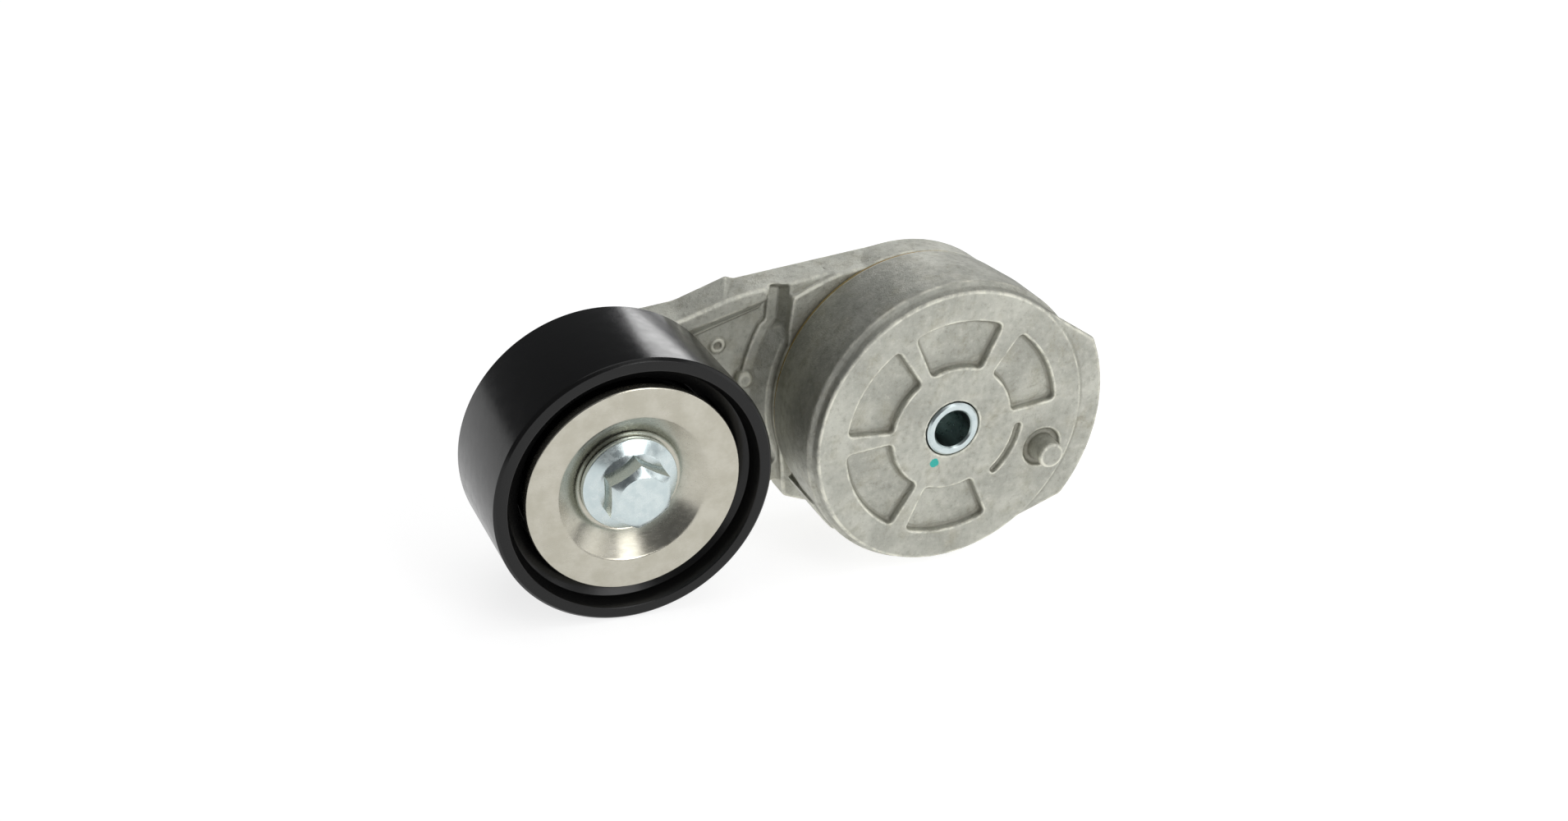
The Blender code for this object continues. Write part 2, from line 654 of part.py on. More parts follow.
def ball(name, radius, place):
    mesh = bpy.data.meshes.new(name)
    body = bmesh.new()
    bmesh.ops.create_uvsphere(body, u_segments=10, v_segments=7, radius=radius)
    body.to_mesh(mesh)
    body.free()
    obj = link(bpy.data.objects.new(name, mesh), place)
    obj.location.z = -BEARING_MIDDLE
    return obj


# ---------------------------------------------------------------- pulley mounting

def make_shields(carrier):
    """The dished cover in front of the bearing and the plain one behind it."""
    bore = BOLT_RADIUS + 2 * GAP
    dish_back = DISH_DEPTH + SHIELD_SHEET
    front = turned("shield", rounded([
        (20.9 * MM, SHIELD_FRONT, 1.5 * MM),
        (SHIELD_RADIUS, SHIELD_FRONT, 0.6 * MM),
        (SHIELD_RADIUS, 0.9 * MM),
        (SHIELD_RADIUS - 1.0 * MM, 0.9 * MM),
        (SHIELD_RADIUS - 1.0 * MM, SHIELD_FRONT + SHIELD_SHEET),
        (21.4 * MM, SHIELD_FRONT + SHIELD_SHEET, 1.5 * MM),
        (14.8 * MM, dish_back, 1.5 * MM),
        (bore, dish_back),
        (bore, DISH_DEPTH),
        (14.2 * MM, DISH_DEPTH, 1.5 * MM),
    ]), steps=40, centre=PULLEY_CENTRE)
    finish(front, "dust_shield_front", "bright_steel", carrier)

    near = BEARING_BACK + GAP
    deep = REAR_SHIELD_BACK - REAR_SHIELD_SHEET
    rear = turned("shield", rounded([
        (bore, near),
        (12.5 * MM, near, 1 * MM),
        (16.5 * MM, deep, 1 * MM),
        (REAR_SHIELD_RADIUS, deep),
        (REAR_SHIELD_RADIUS, REAR_SHIELD_BACK),
        (16.1 * MM, REAR_SHIELD_BACK, 1 * MM),
        (12.1 * MM, near + REAR_SHIELD_SHEET, 1 * MM),
        (bore, near + REAR_SHIELD_SHEET),
    ]), steps=36, centre=PULLEY_CENTRE)
    finish(rear, "dust_shield_rear", "bright_steel", carrier)


def make_spacer(carrier):
    bore = BOLT_RADIUS + GAP
    spacer = turned("spacer", [
        (bore, SPACER_FRONT),
        (SPACER_FLANGE, SPACER_FRONT),
        (SPACER_FLANGE, BEARING_FRONT - GAP),
        (BEARING_BORE - GAP, BEARING_FRONT - GAP),
        (BEARING_BORE - GAP, BEARING_BACK),
        (bore, BEARING_BACK),
    ], steps=36, centre=PULLEY_CENTRE)
    finish(spacer, "bearing_spacer", "zinc_plate", carrier)


def make_pulley_bolt(carrier):
    """A flanged hexagon bolt: the hexagon is trimmed by a cone for its chamfer."""
    body = turned("bolt", rounded([
        (0.0, -2 * MM),
        (7.5 * MM, -2 * MM),
        (BOLT_FLATS / 2 + 1.4 * MM, 0.3 * MM, 0.6 * MM),
        (BOLT_FLANGE, 1.6 * MM, 0.4 * MM),
        (BOLT_FLANGE, BOLT_FLANGE_BACK, 0.4 * MM),
        (BOLT_RADIUS, BOLT_FLANGE_BACK),
        (BOLT_RADIUS, BOLT_END - 1 * MM),
        (BOLT_RADIUS - 1 * MM, BOLT_END),
        (0.0, BOLT_END),
    ]), steps=32, centre=PULLEY_CENTRE)
    corner = BOLT_FLATS / 2 / math.cos(math.radians(30))
    hexagon = flat("hexagon", arc(corner, HEX_TURN, HEX_TURN + 300, 5), BOLT_HEAD_FRONT, 1 * MM,
                   centre=PULLEY_CENTRE)
    trim = turned("trim", [
        (0.0, BOLT_HEAD_FRONT - 1 * MM),
        (BOLT_FLATS / 2 - 2.9 * MM, BOLT_HEAD_FRONT - 1 * MM),
        (BOLT_FLATS / 2 - 1.1 * MM, BOLT_HEAD_FRONT),
        (corner + 0.2 * MM, BOLT_HEAD_FRONT + 1.3 * MM),
        (corner + 0.2 * MM, 2 * MM),
        (0.0, 2 * MM),
    ], steps=36, centre=PULLEY_CENTRE)
    boolean(hexagon, "INTERSECT", trim)
    join(body, hexagon)
    finish(body, "pulley_bolt", "zinc_plate", carrier)


# ---------------------------------------------------------------- assembly

def clear_scene():
    for obj in list(bpy.data.objects):
        bpy.data.objects.remove(obj)
    for name, (colour, roughness, metallic) in MATERIALS.items():
        material = bpy.data.materials.new(name)
        material.use_nodes = True
        shader = material.node_tree.nodes["Principled BSDF"]
        shader.inputs["Base Color"].default_value = (*colour, 1.0)
        shader.inputs["Roughness"].default_value = roughness
        shader.inputs["Metallic"].default_value = metallic
    group = bpy.data.collections.new("belt_tensioner_idler")
    bpy.context.scene.collection.children.link(group)


def axis(name, parent=None, centre=(0.0, 0.0)):
    """An empty on a joint's axis, which its moving pieces hang from."""
    empty = bpy.data.objects.new(name, None)
    bpy.data.collections["belt_tensioner_idler"].objects.link(empty)
    empty.parent = parent
    empty.location = (centre[0], centre[1], 0.0)
    return empty


def main():
    clear_scene()
    pivot = axis("pivot_axis")
    pulley_axis = axis("pulley_axis", pivot, PULLEY_CENTRE)
    cage_axis = axis("cage_axis", pivot, PULLEY_CENTRE)
    bolt_axis = axis("bolt_axis", pivot, PULLEY_CENTRE)
    make_spring_case(pivot)
    make_pivot_pieces(pivot)
    make_torsion_spring(pivot)
    make_arm(pivot)
    make_pulley_shell(pulley_axis)
    make_bearing(pulley_axis, bolt_axis, cage_axis)
    make_shields(bolt_axis)
    make_spacer(bolt_axis)
    make_pulley_bolt(bolt_axis)
    pivot.rotation_euler.x = math.radians(90)


main()
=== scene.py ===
"""The looks of the belt tensioner idler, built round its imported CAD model.

The model's front faces -Y: a depth is a distance along +Y, behind the mounting face.
Outlines and profiles are in millimetres. A profile is a list of (radius, depth) and an
outline a list of (x, z), both about a centre in the XZ plane.
"""
import json
import math

import bmesh
import bpy
from mathutils import Matrix, Vector


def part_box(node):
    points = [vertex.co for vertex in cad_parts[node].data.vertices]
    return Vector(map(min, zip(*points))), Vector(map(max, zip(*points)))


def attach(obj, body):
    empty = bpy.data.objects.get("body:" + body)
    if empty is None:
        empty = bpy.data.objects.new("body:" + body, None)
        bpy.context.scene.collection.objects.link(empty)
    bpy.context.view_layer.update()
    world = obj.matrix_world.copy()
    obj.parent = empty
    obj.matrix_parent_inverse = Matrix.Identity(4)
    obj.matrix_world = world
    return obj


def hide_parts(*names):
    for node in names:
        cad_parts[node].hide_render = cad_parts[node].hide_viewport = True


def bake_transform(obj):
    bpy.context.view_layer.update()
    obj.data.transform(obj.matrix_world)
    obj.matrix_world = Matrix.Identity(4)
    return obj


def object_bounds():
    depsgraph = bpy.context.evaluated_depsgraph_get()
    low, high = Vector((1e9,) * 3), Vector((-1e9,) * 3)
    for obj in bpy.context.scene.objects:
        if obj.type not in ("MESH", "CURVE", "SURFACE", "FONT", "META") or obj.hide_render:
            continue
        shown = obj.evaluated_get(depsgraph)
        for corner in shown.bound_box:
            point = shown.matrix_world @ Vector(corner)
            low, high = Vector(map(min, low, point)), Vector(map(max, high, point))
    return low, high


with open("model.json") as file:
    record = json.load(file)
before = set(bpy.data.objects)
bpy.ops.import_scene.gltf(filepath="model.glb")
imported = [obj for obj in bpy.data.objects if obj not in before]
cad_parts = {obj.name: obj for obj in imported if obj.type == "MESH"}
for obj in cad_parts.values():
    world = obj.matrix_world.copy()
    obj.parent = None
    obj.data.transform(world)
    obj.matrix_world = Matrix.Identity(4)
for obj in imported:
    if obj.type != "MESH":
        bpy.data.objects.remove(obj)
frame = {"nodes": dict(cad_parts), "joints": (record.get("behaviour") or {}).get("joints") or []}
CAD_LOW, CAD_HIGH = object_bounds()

MM = 0.001

# ---------------------------------------------------------------- places, from the frame


def joint_point(name):
    """A joint's (x, z) in millimetres."""
    place = next(j for j in frame["joints"] if j["name"] == name)["pos_m"]
    return (place[0] / MM, place[2] / MM)


def depths(node):
    """A node's nearest and furthest depth, in millimetres."""
    low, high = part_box(node)
    return low.y / MM, high.y / MM


def outer_radius(node):
    """Half a round node's width, in millimetres."""
    low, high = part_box(node)
    return (high.x - low.x) / 2 / MM


PIVOT = (0.0, 0.0)
AXLE = joint_point("pulley_spin")
FLOOR_Z = CAD_LOW.z
# The shell's rim is rounder than the CAD model's: this much smaller, it stays in the CAD box.
SHELL_INSIDE = 0.005
SHELL_FRONT, SHELL_BACK = depths("pulley_shell")
SHELL_RADIUS = outer_radius("pulley_shell") - SHELL_INSIDE
SLEEVE_FRONT, SLEEVE_BACK = depths("pivot_sleeve")
SLEEVE_RADIUS = outer_radius("pivot_sleeve")
SEAM_FRONT, SEAM_BACK = depths("seam_ring")
PLATE_FRONT, PLATE_BACK = depths("retaining_plate")
PLATE_RADIUS = outer_radius("retaining_plate")
SHIELD_FRONT = depths("dust_shield_front")[0]
SHIELD_RADIUS = outer_radius("dust_shield_front")
REAR_SHIELD = depths("dust_shield_rear")
REAR_SHIELD_RADIUS = outer_radius("dust_shield_rear")
BOLT_FRONT, BOLT_BACK = depths("pulley_bolt")
BOLT_FLANGE = outer_radius("pulley_bolt")

# The two castings, which meet at the seam ring with a gap on both of its sides. What is added
# to the case's wall begins at the root radius, inside it. The spring's ends rest on two seats
# between the same two radii.
SEAM_GAP = 0.3
CASE_RADIUS = 42.95
FACE_RADIUS = 41.2
ROOT_RADIUS = 38.5
CASE_DEPTH = SEAM_FRONT - SEAM_GAP
HUB_FRONT = SEAM_BACK + SEAM_GAP
HUB_RADIUS = 41.2
ARM_FRONT, ARM_BACK = 31.5, 41.0
WEB_FRONT, WEB_BACK = 36.0, 39.0
SPRING_SEAT = (24.6, 30.8)

# ---------------------------------------------------------------- outlines


def polar(radius, degrees, centre=(0.0, 0.0)):
    """The point at a radius and an angle, anticlockwise from +X."""
    angle = math.radians(degrees)
    return (centre[0] + radius * math.cos(angle), centre[1] + radius * math.sin(angle))


def arc(radius, start, end, steps, centre=(0.0, 0.0)):
    """Points from one angle to another, both included."""
    turn = end - start
    return [polar(radius, start + turn * i / steps, centre) for i in range(steps + 1)]


def rounded(corners, steps=5):
    """An outline whose corners (x, z, radius) become arcs, while (x, z) stays sharp."""
    outline = []
    for i, corner in enumerate(corners):
        here = Vector(corner[:2])
        radius = corner[2] if len(corner) > 2 else 0.0
        if radius <= 0.0:
            outline.append(tuple(here))
            continue
        before = (Vector(corners[i - 1][:2]) - here).normalized()
        after = (Vector(corners[(i + 1) % len(corners)][:2]) - here).normalized()
        half = before.angle(after) / 2
        centre = here + (before + after).normalized() * (radius / math.sin(half))
        first = here + before * (radius / math.tan(half)) - centre
        last = here + after * (radius / math.tan(half)) - centre
        turn = first.angle_signed(last)
        for k in range(steps + 1):
            outline.append(tuple(centre + Matrix.Rotation(-turn * k / steps, 2) @ first))
    return outline


def sector(inner, outer, start, end, corner=0.0, steps=24):
    """A ring sector between two radii and two angles in degrees, with rounded corners.

    Its arcs stop clear of the corners, to leave room for their rounding.
    """
    clear = 1.3 * corner + 0.01
    far, near = math.degrees(clear / outer), math.degrees(clear / inner)
    corners = [(*polar(outer, start), corner)]
    corners += arc(outer, start + far, end - far, steps)
    corners += [(*polar(outer, end), corner), (*polar(inner, end), corner)]
    corners += arc(inner, end - near, start + near, steps)
    corners.append((*polar(inner, start), corner))
    return rounded(corners)


def inset(outline, distance):
    """The outline moved inwards by a distance, with mitres of twice the distance at most."""
    pairs = zip(outline, outline[1:] + outline[:1])
    area = sum(a[0] * b[1] - b[0] * a[1] for a, b in pairs)
    side = 1 if area > 0 else -1
    moved = []
    for i, point in enumerate(outline):
        here = Vector(point)
        back = (here - Vector(outline[i - 1])).normalized()
        ahead = (Vector(outline[(i + 1) % len(outline)]) - here).normalized()
        along = (back + ahead).normalized()
        normal = Vector((-along.y, along.x)) * side
        share = max(0.5, abs(normal.dot(Vector((-ahead.y, ahead.x)))))
        moved.append(tuple(here + normal * (distance / share)))
    return moved


# ---------------------------------------------------------------- solids

# Lengths are in millimetres. A casting's triangles stay under the number that an export keeps,
# and each blur evens out the points' bends with their neighbours'.
MERGE_DISTANCE = 0.002
RIM_STEPS = 4
SMALL_STEPS = 48
CAST_VOXEL = 0.33
CAST_SMOOTHING = 4
CAST_TRIANGLES = 190_000
BEND_BLURS = 2
TINY = 1e-9


def add(name, data):
    """A new object of the scene."""
    obj = bpy.data.objects.new(name, data)
    bpy.context.scene.collection.objects.link(obj)
    return obj


def from_bmesh(name, body):
    """An object of the bmesh, with every face turned outwards."""
    bmesh.ops.recalc_face_normals(body, faces=body.faces)
    if body.calc_volume(signed=True) < 0.0:
        bmesh.ops.reverse_faces(body, faces=body.faces)
    mesh = bpy.data.meshes.new(name)
    body.to_mesh(mesh)
    body.free()
    return add(name, mesh)


def place(point, depth):
    """An (x, z) in millimetres and a depth, as a point of the frame."""
    return (point[0] * MM, depth * MM, point[1] * MM)


def turned(name, profile, centre=PIVOT, steps=192):
    """A closed profile of (radius, depth) spun about the Y axis through centre."""
    body = bmesh.new()
    rows = []
    for radius, depth in profile:
        rows.append(body.verts.new(place((centre[0] + radius, centre[1]), depth)))
    solid_core = profile[0][0] == 0.0 and profile[-1][0] == 0.0
    edges = [body.edges.new(pair) for pair in zip(rows, rows[1:])]
    if not solid_core:
        edges.append(body.edges.new((rows[-1], rows[0])))
    bmesh.ops.spin(body, geom=rows + edges, cent=place(centre, 0.0), axis=(0, 1, 0),
                   angle=math.tau, steps=steps, use_merge=True, dvec=(0, 0, 0))
    bmesh.ops.remove_doubles(body, verts=body.verts, dist=MERGE_DISTANCE * MM)
    return from_bmesh(name, body)


def plate(name, outline, front, back, edge=0.0, draft=0.0, far=None):
    """An outline extruded between two depths, with both rims rounded by edge.

    The outline at the back is far, or the same outline moved inwards by draft.
    """
    far = far or inset(outline, draft)
    turns = [math.pi / 2]
    if edge > 0.0:
        turns = [math.pi / 2 * k / RIM_STEPS for k in range(RIM_STEPS + 1)]
    rims = [(edge * (1 - math.cos(turn)), edge * (1 - math.sin(turn))) for turn in turns]
    sections = [(front + deep, inset(outline, shift)) for deep, shift in rims]
    sections += [(back - deep, inset(far, shift)) for deep, shift in reversed(rims)]
    return loft(name, sections)


def loft(name, sections):
    """A solid through outlines of as many points each, a list of (depth, outline)."""
    body = bmesh.new()
    rows = []
    for depth, outline in sections:
        rows.append([body.verts.new(place(point, depth)) for point in outline])
    body.faces.new(rows[0])
    body.faces.new(list(reversed(rows[-1])))
    for near, far in zip(rows, rows[1:]):
        for i in range(len(near)):
            k = (i + 1) % len(near)
            body.faces.new((near[k], near[i], far[i], far[k]))
    return from_bmesh(name, body)


def baked(obj):
    """The object's modifiers applied to its mesh."""
    bpy.context.view_layer.update()
    graph = bpy.context.evaluated_depsgraph_get()
    mesh = bpy.data.meshes.new_from_object(obj.evaluated_get(graph))
    obj.modifiers.clear()
    obj.data = mesh
    return obj


def combine(obj, operation, *tools):
    """Join the tools to an object, cut them from it or intersect it with them, and remove them."""
    for tool in tools:
        modifier = obj.modifiers.new(operation.lower(), "BOOLEAN")
        modifier.operation = operation
        modifier.solver = "MANIFOLD"
        modifier.object = tool
    baked(obj)
    for tool in tools:
        bpy.data.objects.remove(tool)
    return obj


def cast(obj):
    """Give a solid the soft edges and fillets of a die casting."""
    remesh = obj.modifiers.new("voxels", "REMESH")
    remesh.mode = "VOXEL"
    remesh.voxel_size = CAST_VOXEL * MM
    smooth = obj.modifiers.new("soften", "SMOOTH")
    smooth.factor = 0.5
    smooth.iterations = CAST_SMOOTHING
    baked(obj)
    obj.data.calc_loop_triangles()
    thin = obj.modifiers.new("thin", "DECIMATE")
    thin.ratio = min(1.0, CAST_TRIANGLES / len(obj.data.loop_triangles))
    baked(obj)
    obj.data.shade_smooth()
    store_bend(obj.data)
    return obj


def store_bend(mesh):
    """Store the surface's mean curvature per millimetre at each point, above 0 on an edge."""
    bends = [0.0] * len(mesh.vertices)
    weights = [0.0] * len(mesh.vertices)
    normals = [entry.vector for entry in mesh.vertex_normals]
    ends = [tuple(edge.vertices) for edge in mesh.edges]
    for a, b in ends:
        span = mesh.vertices[b].co - mesh.vertices[a].co
        turn = (normals[b] - normals[a]).dot(span) / max(span.length, TINY) * MM
        for end in (a, b):
            bends[end] += turn
            weights[end] += span.length
    bends = [bend / max(weight, TINY) for bend, weight in zip(bends, weights)]
    for _ in range(BEND_BLURS):
        sums, counts = list(bends), [1] * len(bends)
        for a, b in ends:
            sums[a] += bends[b]
            sums[b] += bends[a]
            counts[a] += 1
            counts[b] += 1
        bends = [total / count for total, count in zip(sums, counts)]
    mesh.attributes.new("bend", "FLOAT", "POINT").data.foreach_set("value", bends)


def crisp(obj, degrees=35):
    """Smooth shading, with edges sharper than the given angle left sharp."""
    obj.data.shade_smooth()
    obj.data.set_sharp_from_angle(angle=math.radians(degrees))
    return obj


# ---------------------------------------------------------------- spring case

POCKET_SECTORS = ((9.5, 57.5), (69.5, 118.5), (128.0, 178.0), (187.5, 241.5), (250.5, 297.5))
PIN = polar(32.0, -17.5)


def case_body():
    """The face, the wall round the spring's chamber, and the post with its beaded neck."""
    bore = SLEEVE_RADIUS + 0.35
    chamber, chamber_floor = 36.5, 6.0
    post, post_end = 13.5, 41.1
    neck, bead, neck_end = 11.0, 12.6, SLEEVE_BACK - 1.2
    return turned("spring_case_casting", rounded([
        (bore, 0.0),
        (FACE_RADIUS, 0.0, 0.5),
        (FACE_RADIUS + 0.5, 2.2, 0.5),
        (CASE_RADIUS, 3.6, 0.8),
        (CASE_RADIUS - 0.1, 15.0, 8.0),
        (CASE_RADIUS - 1.3, CASE_DEPTH, 0.4),
        (chamber, CASE_DEPTH),
        (chamber, chamber_floor),
        (post, chamber_floor),
        (post, post_end),
        (neck, post_end),
        (neck, neck_end - 1.2),
        (bead, neck_end - 1.1, 0.3),
        (bead, neck_end - 0.5, 0.3),
        (neck, neck_end),
        (bore, neck_end),
    ]))


def lobe():
    """The flange that carries the locating pin: an arc between two straight flanks."""
    radius, start, end = 48.45, -33.5, 28.5
    low_foot, high_foot = -54, 53
    corners = [polar(FACE_RADIUS, low_foot)]
    corners.append((*polar(radius, start), 3.0))
    corners += arc(radius, start + 5, end - 5, 24)
    corners.append((*polar(radius, end), 3.0))
    corners.append(polar(FACE_RADIUS + 0.4, high_foot))
    corners += arc(ROOT_RADIUS, high_foot, low_foot, 32)
    return plate("lobe", rounded(corners), 0.55, 9.5, edge=0.8, draft=1.6)


def pin():
    """The locating pin, which stands out in front of the mounting face."""
    tip, root = -5.78, 3.0
    return turned("pin", rounded([
        (0.0, tip), (3.85, tip, 0.5), (4.05, root), (0.0, root),
    ]), PIN, SMALL_STEPS)


def pockets():
    """The five shallow sectors, the short arc groove and the relief round the pin."""
    cutters = []
    for start, end in POCKET_SECTORS:
        outline = sector(18.5, 32.7, start, end, corner=1.6)
        cutters.append(plate("pocket", outline, -0.3, 2.1, draft=0.6))
    groove = sector(20.2, 22.7, -47, -2, corner=1.1)
    cutters.append(plate("groove", groove, -0.2, 1.5, draft=0.5))
    relief = [(0, -1), (6.4, -1), (5.6, 1.3), (0, 1.3)]
    cutters.append(turned("relief", relief, PIN, SMALL_STEPS))
    return cutters


def make_case():
    """The case, with a pad on its wall, the stop for the arm's slot and the spring's seat."""
    case = case_body()
    burr = turned("burr", rounded([(0, 1.0), (0.55, 1.3, 0.2), (0.5, 2.6, 0.2), (0, 2.9)]),
                  polar(47.8, 19.5), 16)
    start, end = -149, -133
    outline = arc(CASE_RADIUS + 0.7, start, end, 8) + arc(ROOT_RADIUS, end, start, 6)
    pad = plate("pad", outline, 7, 24, edge=0.6)
    stop = plate("stop", sector(34.5, 38.2, -65, -55, steps=6), CASE_DEPTH - 2, 32.9)
    seat = plate("seat", sector(*SPRING_SEAT, 134, 148, steps=6), 5, 13)
    combine(case, "UNION", lobe(), pad, burr, stop, seat)
    combine(case, "DIFFERENCE", *pockets())
    combine(case, "UNION", pin())
    cast(case)
    dress(case, "case", "cast_aluminium", CASE_METAL, "spring_case")


# ---------------------------------------------------------------- arm


def beam_outline(near_hub, step, ridge, shoulder, end_radius):
    """The arm from the hub's tangent over the top rib and round the pulley's end."""
    corners = [near_hub, step, ridge, (*shoulder, 15.0)]
    corners += arc(end_radius, 98.6, 276, 40, AXLE)
    corners.append((-36.0, -28.0))
    corners += arc(HUB_RADIUS - 5.5, 218, 97, 24)
    return rounded(corners)


def make_beam():
    """The rib's top leans down towards the front, and its back edge has a small step."""
    front = beam_outline((-6.0, 39.0), (-50.5, 32.4), (-57.8, 30.5), (-71.0, 25.6), 27.6)
    back = beam_outline((-4.9, 40.0), (-52.0, 33.0), (-54.6, 33.8), (-69.5, 27.9), 29.0)
    return plate("beam", front, ARM_FRONT, ARM_BACK, edge=0.9, far=back)


def web_outline(reach, wall, rib, notch):
    """The pocket between the pulley end, the two edge ribs and the hub's wall.

    rib is the top rib's lower edge at both of its ends, and notch is the gap's top corners
    between that rib and the hub's shoulder.
    """
    corners = [(*polar(reach, -35, AXLE), 2.0)]
    corners += arc(reach, -28, 36, 16, AXLE)
    corners += [(*rib[0], 0.8), (*rib[1], 0.5), (*notch[0], 0.5), (*notch[1], 0.5)]
    corners.append((notch[1][0], 21.5, 2.0))
    corners += arc(wall, 156, 204, 12)
    corners.append((*polar(wall, 211), 2.0))
    return list(reversed(rounded(corners)))


def web_pockets():
    """The cuts that leave the web: the front one has a low terrace along the hub's wall."""
    mouth = web_outline(
        35.9, 42.9, ((-69.9, 21.5), (-45.4, 29.5)), ((-44.6, 34.4), (-38.8, 33.4)))
    ledge = web_outline(
        37.1, 46.6, ((-66.3, 19.6), (-44.6, 27.0)), ((-43.6, 32.4), (-40.7, 31.8)))
    bed = web_outline(
        37.4, 49.4, ((-65.4, 19.1), (-46.0, 26.1)), ((-45.4, 30.0), (-43.4, 29.4)))
    front = [(ARM_FRONT - 2.5, mouth), (ARM_FRONT + 0.2, mouth), (WEB_FRONT - 1.0, ledge)]
    floor = [(WEB_FRONT - 1.6, inset(bed, 0.2)), (WEB_FRONT, inset(bed, 0.5))]
    return [
        loft("web_front", front),
        loft("web_bed", floor),
        plate("web_back", bed, WEB_BACK, ARM_BACK + 1.0, draft=-1.0),
    ]


def arm_hub():
    """The drum behind the seam, with a tube forwards round the case's post, and a recess."""
    rim_inside, floor = 33.8, 33.0
    bore, tube, tube_front = 16.2, 20.0, 10.0
    recess, recess_depth = 25.0, 38.5
    return turned("tensioner_arm_casting", rounded([
        (rim_inside, HUB_FRONT),
        (HUB_RADIUS, HUB_FRONT, 0.4),
        (HUB_RADIUS - 0.5, ARM_BACK, 1.8),
        (recess, ARM_BACK, 0.6),
        (recess, recess_depth),
        (bore, recess_depth),
        (bore, tube_front),
        (tube, tube_front),
        (tube, floor),
        (rim_inside, floor),
    ]))


def hub_block():
    """The shoulder where the top rib meets the hub, which leans down towards the front."""
    start, end = 106, 158

    def outline(top, corner, foot):
        corners = [polar(HUB_RADIUS - 1.0, start), *top, (*corner, 1.0), (*foot, 2.0)]
        corners.append(polar(HUB_RADIUS, end))
        return rounded(corners + arc(HUB_RADIUS - 2.5, end, start, 16))

    front = outline(((-25.6, 35.9), (-31.9, 33.2)), (-38.3, 30.0), (-38.7, 21.0))
    back = outline(((-25.6, 36.9), (-31.9, 35.9)), (-40.6, 34.3), (-41.0, 21.0))
    return plate("block", front, HUB_FRONT + 0.1, ARM_BACK - 2, edge=0.5, far=back)


def stop_lug():
    """The lug on the hub's lower left."""
    start, end = 200, 234
    corners = [
        polar(HUB_RADIUS - 0.5, start),
        (-35.0, -32.6, 1.5),
        (-27.2, -35.4, 1.5),
        polar(HUB_RADIUS - 0.5, end),
    ]
    corners += arc(HUB_RADIUS - 2.5, end, start, 12)
    return plate("lug", rounded(corners), HUB_FRONT + 0.1, ARM_BACK - 2.5, edge=0.6)


def pulley_boss():
    """The boss that the bolt holds the bearing against."""
    front, back, radius = 22.05, ARM_BACK + 2.0, 11.5
    return turned("boss", rounded([
        (0.0, front),
        (radius, front, 0.5),
        (radius, 26.5, 2.0),
        (18.0, 32.0),
        (16.5, ARM_BACK - 1.0),
        (12.5, back, 1.0),
        (0.0, back),
    ]), AXLE, 128)


def web_marks():
    """An ejector pin's mark and a low round boss on the web's front."""
    ejector = turned("ejector", rounded([
        (1.2, 35.4), (1.9, 35.3, 0.2), (2.9, 36.5), (1.2, 36.5),
    ]), (-57.2, 15.0), SMALL_STEPS)
    nub = turned("nub", rounded([
        (0.0, 34.0), (2.2, 33.6, 0.8), (2.9, 36.6), (0.0, 36.6),
    ]), (-48.6, 4.2), SMALL_STEPS)
    return ejector, nub


def make_arm():
    """The arm, with the bolt's hole, the stop's slot, a scribed mark and the spring's seat."""
    arm = arm_hub()
    combine(arm, "UNION", make_beam(), hub_block(), stop_lug())
    combine(arm, "DIFFERENCE", *web_pockets())
    hole = turned("hole", [(0, 15), (6.3, 15), (6.3, 50), (0, 50)], AXLE, 64)
    slot = plate("slot", sector(31.5, 38.6, -65.5, 5.5), HUB_FRONT - 1, 33.5)
    seat = plate("seat", sector(*SPRING_SEAT, 332, 346, steps=6), 26, 34)
    combine(arm, "UNION", pulley_boss(), *web_marks())
    scribe = [(-27.6, 35.5), (-27.1, 35.5), (-27.1, 40.0), (-27.6, 40.0)]
    mark = plate("mark", scribe, 32.0, 37.5)
    combine(arm, "DIFFERENCE", hole, slot, mark)
    combine(arm, "UNION", seat)
    cast(arm)
    dress(arm, "arm", "cast_aluminium", ARM_METAL, "tensioner_arm")


# ---------------------------------------------------------------- pulley


def make_pulley():
    """The shell: the belt's rim, a web inside it and a hub round the bearing's outer ring."""
    bore, lip_height = 23.8, 1.5
    hub, hub_front, hub_back = 27.2, 3.2, 22.0
    shell = turned("pulley_shell_painted", rounded([
        (34.5, SHELL_FRONT, 0.35),
        (SHELL_RADIUS - 0.75, SHELL_FRONT, 0.3),
        (SHELL_RADIUS, SHELL_FRONT + 0.75, 0.5),
        (SHELL_RADIUS, SHELL_BACK - 0.8, 0.5),
        (SHELL_RADIUS - 0.8, SHELL_BACK, 0.3),
        (34.8, SHELL_BACK, 0.4),
        (34.4, 17.5, 2.0),
        (hub, 16.0, 1.0),
        (hub, hub_back, 0.4),
        (bore - lip_height, hub_back, 0.3),
        (bore - lip_height, 20.75),
        (bore, 20.75),
        (bore, hub_front, 0.3),
        (hub, hub_front, 0.3),
        (hub, 12.4, 0.8),
        (29.8, 12.0, 0.8),
        (29.9, 2.6, 0.35),
        (33.1, 0.9, 0.25),
    ]), AXLE, 256)
    crisp(shell)
    dress(shell, "pulley", "black_paint", BLACK_PAINT, "pulley_shell")


